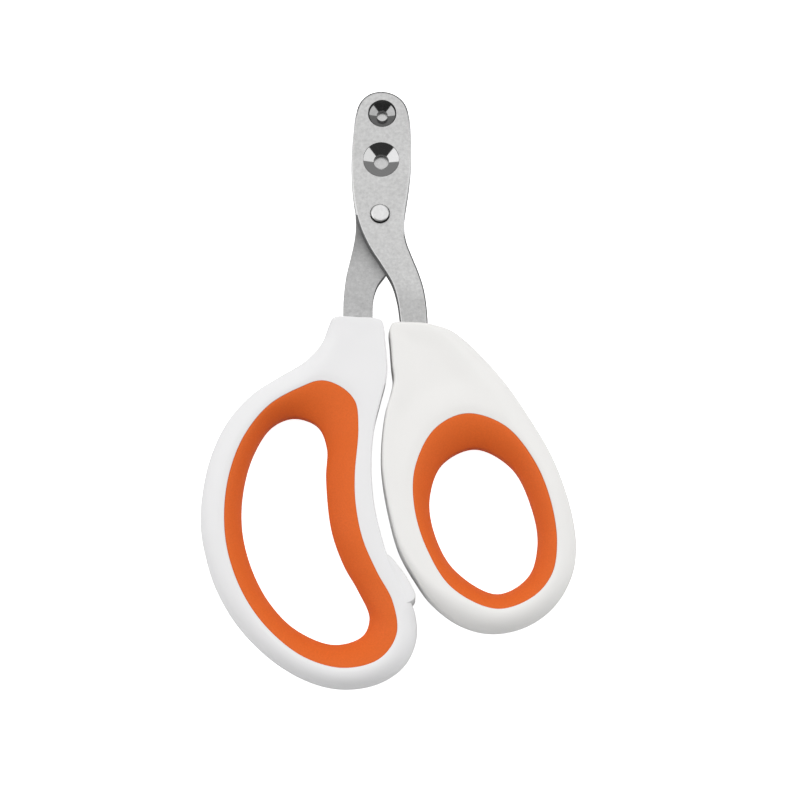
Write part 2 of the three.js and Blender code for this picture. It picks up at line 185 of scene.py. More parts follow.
# ---------------------------------------------------------------- outlines
#
# Closed curves through points, counter-clockwise seen from +Z. A third number is the width of the
# rounding or bevel along that stretch of edge.

PLAIN_WIDTH = 0.35        # that of a blade's edge where no number is given

LEFT_HANDLE_OUTLINE = [
    # neck, from its inner corner to its outer one
    (-0.6, -22.95, 0.8), (-4.0, -22.85, 0.8), (-8.0, -22.7, 1.0), (-9.3, -23.1, 1.6),
    (-10.1, -24.6, 2.4),
    # shoulder and outer side of the two-finger loop
    (-11.4, -27.8, 3.4), (-14.6, -31.5, 4.2), (-20.0, -35.1, 4.4), (-25.6, -39.1, 4.4),
    (-30.2, -44.7, 4.4), (-33.4, -52.3, 4.4), (-34.8, -60.7, 4.4), (-34.8, -66.5, 4.4),
    (-33.8, -71.8, 4.4), (-31.2, -79.2, 4.4), (-26.3, -86.7, 4.4), (-19.2, -93.2, 4.4),
    # bottom of the loop
    (-11.5, -97.2, 4.4), (-4.9, -98.3, 4.4), (1.8, -97.0, 4.4), (6.9, -93.4, 4.4),
    (9.15, -88.2, 4.0), (8.9, -83.9, 3.0), (7.8, -81.0, 2.0),
    # inner side, which faces the other handle
    (5.5, -77.0, 1.2), (3.3, -72.6, 0.9), (1.85, -68.2, 0.9), (0.3, -62.0, 0.9),
    (-0.5, -53.6, 0.9), (0.0, -45.5, 0.9), (1.25, -39.6, 0.9), (2.15, -35.6, 0.9),
    (2.25, -33.2, 0.9), (1.75, -27.8, 0.9), (1.4, -24.8, 0.8), (0.85, -23.4, 0.8),
]

RIGHT_HANDLE_OUTLINE = [
    # neck, from its outer corner to its inner one
    (15.3, -24.9, 2.6), (12.4, -23.9, 1.6), (9.5, -23.45, 1.0), (6.5, -23.4, 0.8),
    (4.2, -23.4, 0.8),
    # inner side, which faces the other handle
    (2.75, -23.85, 0.8), (2.25, -25.2, 0.8), (2.5, -28.0, 0.9), (2.95, -32.9, 0.9),
    (3.3, -35.8, 0.9), (2.85, -38.4, 0.9), (1.85, -42.4, 0.9), (1.2, -49.6, 0.9),
    (1.4, -55.0, 0.9), (2.9, -63.1, 0.9), (5.2, -70.8, 1.2), (8.4, -76.3, 1.8),
    (12.2, -81.2, 3.2),
    # bottom of the thumb loop
    (17.4, -85.1, 4.2), (23.3, -86.7, 4.4), (29.7, -85.7, 4.4), (34.8, -82.8, 4.4),
    (38.4, -78.7, 4.4),
    # outer side of the loop, up to the neck
    (40.4, -74.0, 4.4), (40.9, -69.0, 4.4), (40.3, -63.7, 4.4), (38.2, -56.2, 4.4),
    (35.2, -49.1, 4.4), (31.0, -42.0, 4.4), (26.8, -35.9, 4.4), (22.6, -31.0, 4.2),
    (19.0, -27.5, 3.6),
]

LEFT_LOOP = {
    "centre": (-18.0, -67.0),
    "rim": [
        (-3.9, -55.9), (-3.4, -46.0), (-4.2, -40.6), (-7.2, -37.6), (-11.2, -36.4),
        (-15.4, -37.9), (-21.6, -41.7), (-26.3, -47.9), (-29.0, -55.3), (-29.9, -63.6),
        (-28.9, -71.9), (-25.5, -80.4), (-20.2, -87.4), (-12.9, -92.8), (-5.0, -94.7),
        (1.9, -92.7), (5.1, -87.8), (4.2, -81.3), (0.9, -75.3), (-2.1, -68.6), (-3.6, -61.6),
    ],
    "throat": [
        (-9.8, -56.0), (-9.8, -49.6), (-11.8, -45.0), (-16.7, -43.3), (-21.2, -45.3),
        (-24.8, -51.4), (-26.6, -59.5), (-26.4, -67.2), (-24.1, -75.0), (-20.3, -81.7),
        (-14.9, -86.9), (-7.3, -89.7), (-1.6, -87.8), (-0.4, -84.0), (-2.9, -78.4),
        (-5.8, -73.5), (-8.5, -66.3),
    ],
}

RIGHT_LOOP = {
    "centre": (23.0, -63.0),
    "rim": [
        (36.8, -69.0), (35.6, -60.6), (32.2, -52.2), (26.1, -45.0), (18.3, -42.7),
        (12.0, -46.0), (8.2, -53.9), (8.1, -61.8), (10.8, -70.6), (16.0, -78.4),
        (24.9, -82.4), (32.1, -79.8), (35.8, -75.2),
    ],
    "throat": [
        (33.2, -68.5), (31.8, -60.5), (27.8, -52.8), (20.4, -49.0), (13.7, -52.4),
        (11.3, -59.7), (12.4, -67.0), (16.5, -74.2), (25.0, -78.9), (31.2, -75.4),
    ],
}

HEAD_RIGHT = [
    (5.2, 0.6), (5.8, 5.4), (6.2, 9.6), (6.3, 13.4), (6.15, 17.5),
    (5.7, 21.6), (4.7, 24.5), (2.8, 26.3), (0.0, 27.1),
]

FRONT_BLADE_OUTLINE = [
    # outer edge of the tang, which bends across to the right handle
    (9.9, -38.5), (10.3, -30.0), (10.3, -22.8), (9.5, -16.5),
    (8.3, -12.6), (6.8, -9.0), (5.55, -5.7), (5.1, -2.4),
    *HEAD_RIGHT,
    # left side of the head
    (-2.7, 26.5), (-4.6, 24.7), (-5.6, 21.7), (-6.0, 17.5),
    (-6.2, 13.4), (-6.2, 9.4), (-5.9, 5.2), (-5.3, 1.3),
    # inner edge of the tang and its rounded end
    (-4.7, -1.2), (-3.7, -4.0), (-1.9, -7.6), (0.6, -11.4),
    (2.7, -14.9), (3.8, -18.4), (4.4, -22.0), (5.0, -28.0),
    (5.4, -38.0), (6.2, -39.7), (8.9, -39.8),
]

REAR_BLADE_OUTLINE = [
    # inner edge of the tang, which bends across to the left handle
    (-1.2, -32.0), (-1.1, -22.0), (-1.0, -17.4), (-0.2, -14.7),
    (1.4, -12.3), (3.2, -9.3), (4.4, -6.0), (4.9, -2.6),
    *HEAD_RIGHT,
    # two scallops with a wide bevel: the cutting edge that sweeps across the claw holes
    (-2.4, 26.5, 0.5), (-3.5, 25.2, 1.2), (-2.9, 23.7, 1.6), (-2.5, 21.9, 1.6),
    (-2.9, 19.6, 1.6), (-3.9, 17.3, 1.6), (-3.2, 14.8, 1.6), (-2.6, 12.2, 1.6),
    (-3.0, 9.4, 1.6), (-4.4, 6.6, 1.4), (-5.2, 3.6, 0.8),
    # outer edge of the tang and its rounded end
    (-5.2, 0.8), (-5.0, -1.8), (-5.2, -4.9), (-5.9, -8.8),
    (-6.8, -13.2), (-7.2, -18.0), (-7.2, -22.0), (-7.1, -32.0),
    (-6.2, -33.8), (-2.2, -33.9),
]
BEVEL_STEEPNESS = 1.45
BEVEL_WIDTHS = (0.36, 0.6)  # widths between which an edge goes from a rounding to a ground bevel

# The stop nub on the left handle, which bears on the right handle when the blades are closed.
STOP_NUB = [
    (2.2, -72.3), (1.9, -73.6), (3.0, -76.2), (4.4, -79.0), (5.6, -81.1), (6.6, -81.9),
    (7.2, -81.6), (8.2, -81.0), (8.75, -80.0), (7.9, -77.8), (6.4, -75.4), (5.0, -73.7),
    (4.0, -72.5), (3.0, -71.8),
]

KNOT_STEPS = 24
HANDLE_SAMPLES = 720
RIM_SAMPLES = 480
BLADE_SAMPLES = 520
POCKET_SAMPLES = 200
NUB_SAMPLES = 120
GRIP_SAMPLES = 1440       # along the liner's own curves
GRIP_SEGMENTS = 640       # round the liner
HOLE_SEGMENTS = 96


# ---------------------------------------------------------------- curves


def smooth_loop(points, count):
    """A closed centripetal Catmull-Rom curve through the points, as count evenly spaced samples."""
    knots = np.array([(*p, PLAIN_WIDTH)[:3] for p in points], float)
    steps = np.linspace(0, 1, KNOT_STEPS + 1)[:-1, None]
    stretches = []
    for i in range(len(knots)):
        p0, p1, p2, p3 = (knots[(i + k) % len(knots)] for k in (-1, 0, 1, 2))
        d0, d1, d2 = (np.linalg.norm(b - a) ** 0.5 for a, b in ((p0, p1), (p1, p2), (p2, p3)))
        m1 = ((p1 - p0) / d0 - (p2 - p0) / (d0 + d1) + (p2 - p1) / d1) * d1
        m2 = ((p2 - p1) / d1 - (p3 - p1) / (d1 + d2) + (p3 - p2) / d2) * d1
        s2, s3 = steps**2, steps**3
        stretches.append(
            (2 * s3 - 3 * s2 + 1) * p1
            + (s3 - 2 * s2 + steps) * m1
            + (3 * s2 - 2 * s3) * p2
            + (s3 - s2) * m2
        )
    dense = np.vstack(stretches)
    closed = np.vstack([dense, dense[:1]])
    length = np.r_[0, np.cumsum(np.linalg.norm(np.diff(closed[:, :2], axis=0), axis=1))]
    at = np.linspace(0, length[-1], count, endpoint=False)
    return np.stack([np.interp(at, length, closed[:, k]) for k in range(3)], axis=1)


def inward(loop):
    """The inward unit normal of a counter-clockwise loop at each sample."""
    along = np.roll(loop[:, :2], -1, axis=0) - np.roll(loop[:, :2], 1, axis=0)
    along /= np.linalg.norm(along, axis=1, keepdims=True)
    return np.stack([-along[:, 1], along[:, 0]], axis=1)


def inset(loop, distance):
    """The loop moved inwards by a distance, or by one distance for each sample."""
    step = np.broadcast_to(np.asarray(distance, float), len(loop))[:, None]
    return np.column_stack([loop[:, :2] + inward(loop) * step, loop[:, 2]])


def seen_at(curve, centre, angles):
    """The points of a curve in the directions of the angles, seen from the centre."""
    offset = curve[:, :2] - np.array(centre)
    bearing = np.arctan2(offset[:, 1], offset[:, 0])
    order = np.argsort(bearing)
    columns = [
        np.interp(angles, bearing[order], offset[order, k], period=2 * math.pi) for k in (0, 1)
    ]
    return np.column_stack([*columns, np.zeros(len(angles))]) + (*centre, 0.0)


def distance_to(points, loop):
    """The distance in plan from each point to the closed loop."""
    a = loop[:, :2]
    edge = np.roll(a, -1, axis=0) - a
    to_point = points[:, None, :2] - a[None]
    t = np.clip((to_point * edge).sum(2) / (edge**2).sum(1), 0, 1)
    return np.linalg.norm(to_point - edge * t[..., None], axis=2).min(axis=1)


def smooth_step(low, high, value):
    """0 below low, 1 above high, and a smooth change between them."""
    t = np.clip((value - low) / (high - low), 0, 1)
    return t * t * (3 - 2 * t)


def quarter_turn(steps):
    """The angles from 0 to a right angle, in equal steps."""
    return [k / steps * math.pi / 2 for k in range(steps + 1)]


# ---------------------------------------------------------------- meshes


def ring(loop, height):
    """The loop's samples at a height, or at one height for each sample."""
    return np.column_stack([loop[:, :2], np.broadcast_to(np.asarray(height, float), len(loop))])


def bands(ring_count, corners, closed):
    """Quads between neighbouring rings; with closed, the last ring also joins the first."""
    faces = []
    for k in range(ring_count if closed else ring_count - 1):
        low, high = k * corners, ((k + 1) % ring_count) * corners
        for i in range(corners):
            j = (i + 1) % corners
            faces.append((low + i, low + j, high + j, high + i))
    return faces


def shifted(faces, by, flipped=False):
    """The faces with every vertex number raised, and turned over if flipped."""
    return [tuple(i + by for i in face)[:: -1 if flipped else 1] for face in faces]


def mirrored(rows):
    """Rows of vertices reflected in the sliding plane."""
    return rows * (1, 1, -1)


def make_object(name, vertices, faces, sharp_angle=32.0):
    """A mesh object in the row frame from vertices in the tool's working frame."""
    mesh = bpy.data.meshes.new(name)
    points = np.asarray(vertices, float) * MM + np.array(PIVOT)
    mesh.from_pydata(points.tolist(), [], faces)
    finish_mesh(mesh, sharp_angle)
    obj = bpy.data.objects.new(name, mesh)
    bpy.context.scene.collection.objects.link(obj)
    return obj


def finish_mesh(mesh, sharp_angle):
    """Joins coincident vertices, turns faces outwards, and keeps only the sharp edges sharp."""
    work = bmesh.new()
    work.from_mesh(mesh)
    bmesh.ops.remove_doubles(work, verts=work.verts, dist=1e-7)
    bmesh.ops.recalc_face_normals(work, faces=work.faces)
    work.to_mesh(mesh)
    work.free()
    mesh.shade_smooth()
    mesh.set_sharp_from_angle(angle=math.radians(sharp_angle))
    mesh.update()


def inside(points, loop):
    """Whether each point lies inside the closed loop, from the edges crossed to its right."""
    x, y = points[:, 0, None], points[:, 1, None]
    x0, y0 = loop[None, :, 0], loop[None, :, 1]
    x1, y1 = np.roll(x0, -1, axis=1), np.roll(y0, -1, axis=1)
    spans = (y0 > y) != (y1 > y)
    with np.errstate(divide="ignore", invalid="ignore"):
        crossing = x0 + (y - y0) * (x1 - x0) / (y1 - y0)
    return (spans & (x < crossing)).sum(axis=1) % 2 == 1


def triangles_between(loops, starts, free=(), first_free=0):
    """Triangles that fill the first loop outside the other loops, by way of the free points.

    starts holds the vertex number of each loop's first sample.
    """
    plan = np.vstack([loop[:, :2] for loop in loops] + ([free] if len(free) else []))
    number = [start + np.arange(len(loop)) for loop, start in zip(loops, starts)]
    number = np.concatenate([*number, first_free + np.arange(len(free))]).astype(int)
    fixed, used = [], 0
    for loop in loops:
        fixed += [(used + i, used + (i + 1) % len(loop)) for i in range(len(loop))]
        used += len(loop)
    result = delaunay_2d_cdt([Vector(p) for p in plan.tolist()], fixed, [], 0, 1e-7)
    triangles, origins = result[2], result[3]
    triangles = np.array([[origins[i][0] for i in tri] for tri in triangles])
    middle = plan[triangles].mean(axis=1)
    keep = inside(middle, loops[0])
    for hole in loops[1:]:
        keep &= ~inside(middle, hole)
    return [tuple(int(n) for n in tri) for tri in number[triangles[keep]]]


def boolean(target, tool, operation):
    """Joins the target with the tool or cuts it by the tool, whose object is removed."""
    modifier = target.modifiers.new(operation, "BOOLEAN")
    modifier.operation = operation
    modifier.solver = "EXACT"
    modifier.object = tool
    bpy.context.view_layer.update()
    evaluated = target.evaluated_get(bpy.context.evaluated_depsgraph_get())
    mesh = bpy.data.meshes.new_from_object(evaluated)
    target.modifiers.clear()
    target.data = mesh
    mesh.name = target.name
    bpy.data.objects.remove(tool)


# ---------------------------------------------------------------- handles


def scattered(outer, *holes):
    """A triangular grid of plan points inside one loop and outside the others, clear of all."""
    low, high = outer[:, :2].min(axis=0), outer[:, :2].max(axis=0)
    rows = []
    for k, y in enumerate(np.arange(low[1], high[1], FACE_SPACING * ROW_SHARE)):
        x = np.arange(low[0] + (k % 2) * FACE_SPACING / 2, high[0], FACE_SPACING)
        rows.append(np.column_stack([x, np.full(len(x), y)]))
    points = np.vstack(rows)
    for loop in (outer, *holes):
        points = points[inside(points, loop) == (loop is outer)]
        points = points[distance_to(points, loop) > FACE_SPACING * CLEAR_SHARE]
    return points


def side_rows(edge, rim, crisp, draft, tuck):
    """The handle's side from its parting line up over the rounding to the face.

    draft is how far a steep wall leans in on its way up; tuck is how much further in it stands at
    the parting line and at the rounding.
    """
    steep = 1 - smooth_step(*STEEP_WIDTHS, edge[:, 2])
    room = distance_to(edge, rim) - RIM_FILLET - LEAST_FACE
    width = np.minimum(edge[:, 2] * (1 - crisp * steep), room)
    rise = np.minimum(width * (1 + STEEP_RISE * steep), FACE - SIDE)
    top = FACE - BOX_CLEARANCE
    low, high = tuck[0] * steep, (tuck[1] + draft) * steep
    rows = [ring(inset(edge, low + depth), height) for depth, height in PARTING_LINE]
    rows += [ring(inset(edge, low), height) for height in (SIDE / 2, SIDE)]
    for share in (0.33, 0.66):
        lean = low + (high - low) * share
        rows.append(ring(inset(edge, lean), SIDE + (top - rise - SIDE) * share))
    for angle in quarter_turn(14):
        across = high + width * (1 - math.cos(angle))
        rows.append(ring(inset(edge, across), top - rise + rise * math.sin(angle)))
    return rows


def face_height(points, brow, rim, dish):
    """The face is a shallow dish, and its ring round the liner rolls down to the liner's rim."""
    from_rim, from_brow = distance_to(points, rim), distance_to(points, brow)
    fall = dish * smooth_step(*DISH_FROM_RIM, from_rim) * smooth_step(*DISH_FROM_BROW, from_brow)
    roll = RIM_DROP * (1 - smooth_step(RIM_FILLET, ROLL_FROM_RIM, from_rim))
    roll *= smooth_step(0, ROLL_FROM_BROW, from_brow)
    return FACE - BOX_CLEARANCE - fall - roll


def bore_rows(rim, height):
    """The edge at the liner and the wall behind it, down to the middle of the locking groove."""
    lip = inset(rim, -RIM_FILLET)
    rows = []
    for angle in quarter_turn(4):
        line = lip + (rim - lip) * math.sin(angle)
        rows.append(ring(line, height - RIM_FILLET * (1 - math.cos(angle))))
    rows.append(ring(rim, SEAM_ROW))
    rows.append(ring(rim, RIB_HEIGHT + RIB_SLOPE))
    rows.append(ring(inset(rim, -RIB_DEPTH), RIB_HEIGHT))
    return rows


def handle_half(outline, loop_shape, crisp, draft, tuck, dish):
    """A handle's upper half: vertices, faces and the number of its first bore-end vertex."""
    edge = inset(smooth_loop(outline, HANDLE_SAMPLES), BOX_CLEARANCE)
    rim = smooth_loop(loop_shape["rim"], RIM_SAMPLES)
    side = side_rows(edge, rim, crisp, draft, tuck)
    brow = side[-1]
    bore = bore_rows(rim, face_height(inset(rim, -RIM_FILLET), brow, rim, dish))
    first_brow = (len(side) - 1) * len(edge)
    first_bore = first_brow + len(edge)
    first_free = first_bore + len(bore) * len(rim)
    free = scattered(brow, bore[0])
    faces = bands(len(side), len(edge), False)
    faces += shifted(bands(len(bore), len(rim), False), first_bore)
    faces += triangles_between([brow, bore[0]], [first_brow, first_bore], free, first_free)
    vertices = np.vstack([*side, *bore, ring(free, face_height(free, brow, rim, dish))])
    return vertices, faces, first_free - len(rim)


def handle_object(name, outline, loop_shape, crisp, draft, tuck, dish):
    """A whole handle, its two halves joined in the middle of the liner's locking groove."""
    (upper, faces, front_end), (lower, back_faces, back_end) = (
        handle_half(outline, loop_shape, crisp, draft, (tuck / 2, tuck_at_face), dish)
        for tuck_at_face in (0, tuck)
    )
    faces += shifted(back_faces, len(upper), flipped=True)
    back_end += len(upper)
    for a in range(RIM_SAMPLES):
        b = (a + 1) % RIM_SAMPLES
        faces.append((front_end + a, front_end + b, back_end + b, back_end + a))
    return make_object(name, np.vstack([upper, mirrored(lower)]), faces)


def prism(name, loop, low, high):
    """A solid with the loop as its outline, between two heights."""
    corners = len(loop)
    rings = [ring(loop, low), ring(loop, high)]
    faces = bands(2, corners, False)
    faces.append(tuple(range(corners))[::-1])
    faces.append(tuple(range(corners, 2 * corners)))
    return make_object(name, np.vstack(rings), faces)


def cut_pocket(handle, outline, low, high):
    """Makes room in the handle for the tang, a hair's breadth wider than the steel."""
    loop = inset(smooth_loop(outline, POCKET_SAMPLES), -POCKET_GAP)
    pocket = prism("pocket", loop, low - POCKET_GAP, high + POCKET_GAP)
    boolean(handle, pocket, "DIFFERENCE")


def add_post(handle, x, y, low, high):
    """Gives the handle its moulded post, which passes through the tang's anchor hole."""
    post = prism("post", circle(x, y, POST_RADIUS), low, high)
    boolean(handle, post, "UNION")


def nub_height(points):
    """The nub leaves the handle level with its face and curves down towards the other handle."""
    outward = (points[:, :2] - NUB_ROOT) @ NUB_OUTWARD
    return FACE - NUB_SINK - NUB_FALL * np.clip(outward + NUB_BEND, 0, NUB_REACH) ** 2


def nub_object():
    """The stop nub, rounded along both its faces, and deep enough in the handle to join it."""
    loop = smooth_loop(STOP_NUB, NUB_SAMPLES)
    rows = []
    for angle in quarter_turn(5):
        line = inset(loop, NUB_FILLET * (1 - math.cos(angle)))
        rows.append(ring(line, nub_height(line) - NUB_FILLET * (1 - math.sin(angle))))
    corners, first_cap = len(loop), (len(rows) - 1) * len(loop)
    free = scattered(rows[-1])
    upper = np.vstack([*rows, ring(free, nub_height(free))])
    faces = bands(len(rows), corners, False)
    faces += triangles_between([rows[-1]], [first_cap], free, first_cap + corners)
    faces += shifted(faces, len(upper), flipped=True)
    for a in range(corners):
        b = (a + 1) % corners
        faces.append((a, b, b + len(upper), a + len(upper)))
    return make_object("nub", np.vstack([upper, mirrored(upper)]), faces)


# ---------------------------------------------------------------- liners


def grip_rows(loop_shape):
    """The liner's upper half as rows of samples, from the locking rib round to the throat."""
    centre = loop_shape["centre"]
    angles = np.linspace(-math.pi, math.pi, GRIP_SEGMENTS, endpoint=False)
    rim_curve = smooth_loop(loop_shape["rim"], GRIP_SAMPLES)
    throat = seen_at(smooth_loop(loop_shape["throat"], GRIP_SAMPLES), centre, angles)
    wall = seen_at(inset(rim_curve, SEAM), centre, angles)
    lip = seen_at(inset(rim_curve, SEAM + GRIP_FILLET), centre, angles)
    rib = seen_at(inset(rim_curve, SEAM - RIB_DEPTH), centre, angles)
    rows = [
        ring(rib, RIB_HEIGHT - SEAM),
        ring(wall, RIB_HEIGHT + RIB_SLOPE - SEAM),
        ring(wall, SEAM_ROW),
    ]
    for angle in quarter_turn(4)[:-1]:
        line = wall + (lip - wall) * (1 - math.cos(angle))
        rows.append(ring(line, GRIP_FACE - GRIP_FILLET * (1 - math.sin(angle))))
    for angle in quarter_turn(30):
        share = math.sin(angle)
        funnel, ellipse = share**GRIP_FALL_POWER, 1 - math.cos(angle)
        fall = (1 - GRIP_ROUNDNESS) * funnel + GRIP_ROUNDNESS * ellipse
        height = GRIP_FACE - (GRIP_FACE - THROAT_EDGE) * fall
        rows.append(ring(lip + (throat - lip) * share, height))
    rows.append(ring(throat, 0.0))
    return rows


def grip_object(name, loop_shape):
    """A whole liner: one closed band of rows round its finger hole."""
    upper = grip_rows(loop_shape)
    lower = [mirrored(row) for row in upper[-2::-1]]
    rows = upper + lower
    return make_object(name, np.vstack(rows), bands(len(rows), GRIP_SEGMENTS, True))


# ---------------------------------------------------------------- blades


def circle(x, y, radius):
    """A loop round the point, at height 0."""
    turn = np.linspace(0, 2 * math.pi, HOLE_SEGMENTS, endpoint=False)
    return np.column_stack([x + radius * np.cos(turn), y + radius * np.sin(turn), 0 * turn])


def plate_object(name, edge_rings, holes):
    """A plate with holes.

    edge_rings go round the outside from the back face to the front face; a hole is a list of rings
    from its front edge to its back edge.
    """
    vertices = list(edge_rings)
    starts = np.cumsum([0] + [len(r) for r in edge_rings])
    faces = bands(len(edge_rings), len(edge_rings[0]), False)
    back_loops, back_starts = [edge_rings[0]], [0]
    front_loops, front_starts = [edge_rings[-1]], [int(starts[-2])]
    used = int(starts[-1])
    for rings in holes:
        corners = len(rings[0])
        faces += shifted(bands(len(rings), corners, False), used)
        front_loops.append(rings[0])
        front_starts.append(used)
        back_loops.append(rings[-1])
        back_starts.append(used + (len(rings) - 1) * corners)
        vertices += rings
        used += len(rings) * corners
    faces += triangles_between(front_loops, front_starts)
    faces += triangles_between(back_loops, back_starts)
    return make_object(name, np.vstack(vertices), faces, sharp_angle=24.0)


def plain_hole(x, y, radius, front, back, chamfer=BREAK):
    """A drilled hole with a chamfer at its front edge and a slight break at its back edge."""
    rows = (
        (radius + chamfer + HEM, front),
        (radius + chamfer, front),
        (radius, front - chamfer),
        (radius, back + BREAK),
        (radius + BREAK, back),
        (radius + BREAK + HEM, back),
    )
    return [ring(circle(x, y, around), height) for around, height in rows]


def claw_hole(hole):
    """A ground countersink with a steeper brim, which ends in a narrow land at the shear face."""
    land, foot, mouth = hole["land"], hole["foot"], hole["mouth"]
    rows = [(mouth + wider, PLATE_FACE - depth) for wider, depth in MOUTH_ROWS]
    brow, top = mouth - hole["brim"], PLATE_FACE - MOUTH_BREAK - BRIM_SLOPE * hole["brim"]
    for share in np.linspace(0, 1, 9):
        radius = brow + (foot - brow) * share
        rows.append((radius, top - CONE_SLOPE * (brow - radius)))
    rows.append((land + LAND_SHOULDER[0], rows[-1][1] - LAND_SHOULDER[1]))
    rows += [(land + wider, SLIDE_GAP + height) for wider, height in LAND_ROWS]
    return [ring(circle(0, hole["y"], radius), height) for radius, height in rows]


def front_blade_object():
    """The steel in front: the head with its two claw holes, and the right handle's tang."""
    edge = inset(smooth_loop(FRONT_BLADE_OUTLINE, BLADE_SAMPLES), BOX_CLEARANCE)
    rings = [ring(inset(edge, across), SLIDE_GAP + rise) for across, rise in FRONT_SLIDE_ROWS]
    for angle in quarter_turn(12):
        line = inset(edge, PLATE_CROWN * (1 - math.cos(angle)))
        rings.append(ring(line, PLATE_FACE - PLATE_CROWN_DEPTH * (1 - math.sin(angle))))
    rings.append(ring(inset(edge, PLATE_CROWN + HEM), PLATE_FACE))
    holes = [claw_hole(hole) for hole in CLAW_HOLES]
    holes.append(plain_hole(0, 0, PIVOT_HOLE_RADIUS, PLATE_FACE, SLIDE_GAP, PIVOT_CHAMFER))
    holes.append(plain_hole(*RIGHT_ANCHOR, ANCHOR_RADIUS, PLATE_FACE, SLIDE_GAP))
    return plate_object("front_blade_steel", rings, holes)


def rear_blade_object():
    """The steel behind: the head with its scalloped cutting edge, and the left handle's tang."""
    edge = inset(smooth_loop(REAR_BLADE_OUTLINE, BLADE_SAMPLES), BOX_CLEARANCE)
    width = edge[:, 2]
    ground = smooth_step(*BEVEL_WIDTHS, width)
    rings = [ring(inset(edge, width + HEM), -PLATE_FACE)]
    for angle in quarter_turn(6):
        share = angle / (math.pi / 2)
        across_round = width * (1 - np.sin(angle))
        rise_round = width * (1 - np.cos(angle))
        across = across_round * (1 - ground) + width * (1 - share) * ground
        rise = rise_round * (1 - ground) + width * BEVEL_STEEPNESS * share * ground
        rings.append(ring(inset(edge, across), -PLATE_FACE + rise))
    rings += [ring(inset(edge, across), -SLIDE_GAP - fall) for across, fall in REAR_SLIDE_ROWS]
    holes = [
        plain_hole(0, 0, PIVOT_HOLE_RADIUS, -SLIDE_GAP, -PLATE_FACE),
        plain_hole(*LEFT_ANCHOR, ANCHOR_RADIUS, -SLIDE_GAP, -PLATE_FACE),
    ]
    return plate_object("rear_blade_steel", rings, holes)


def rivet_object():
    """A solid rivet: low domed head behind, plain shank, and a slightly domed end in front."""
    head_radius, bottom = RIVET_HEAD_RADIUS - BOX_CLEARANCE, RIVET_HEAD_BOTTOM + BOX_CLEARANCE
    end = SHANK_END - BOX_CLEARANCE
    profile = [(0.0, RIVET_HEAD_BOTTOM)]
    for angle in quarter_turn(12)[1:]:
        rise = RIVET_HEAD_DOME * (1 - math.cos(angle))
        profile.append((head_radius * math.sin(angle), bottom + rise))
    profile += [
        (head_radius, RIVET_HEAD_TOP - RIVET_HEAD_BREAK),
        (head_radius - RIVET_HEAD_BREAK, RIVET_HEAD_TOP),
        (SHANK_RADIUS, RIVET_HEAD_TOP),
        (SHANK_RADIUS, PLATE_FACE),
    ]
    for angle in quarter_turn(8):
        radius = SHANK_RADIUS - RIVET_SHOULDER * (1 - math.cos(angle))
        fall = RIVET_SHOULDER_DEPTH * (1 - math.sin(angle))
        profile.append((radius, end - RIVET_END_DOME - fall))
    for share in (0.85, 0.6, 0.3, 0.0):
        radius = (SHANK_RADIUS - RIVET_SHOULDER) * share
        profile.append((radius, end - RIVET_END_DOME * share**2))
    rings = [ring(circle(0, 0, radius), z) for radius, z in profile]
    faces = bands(len(rings), HOLE_SEGMENTS, False)
    return make_object("pivot_rivet_steel", np.vstack(rings), faces, sharp_angle=40.0)


# ---------------------------------------------------------------- materials


def map_range(tree, value, low, high, out_low=0.0, out_high=1.0, kind="LINEAR"):
    """The value carried from one span to another."""
    node = tree.nodes.new("ShaderNodeMapRange")
    node.interpolation_type = kind
    ends = {"From Min": low, "From Max": high, "To Min": out_low, "To Max": out_high}
    for key, number in ends.items():
        node.inputs[key].default_value = number
    tree.links.new(value, node.inputs["Value"])
    return node.outputs["Result"]


def times(colour, factor):
    """The colour made darker or lighter, and no brighter than white."""
    return tuple(min(channel * factor, 1.0) for channel in colour)


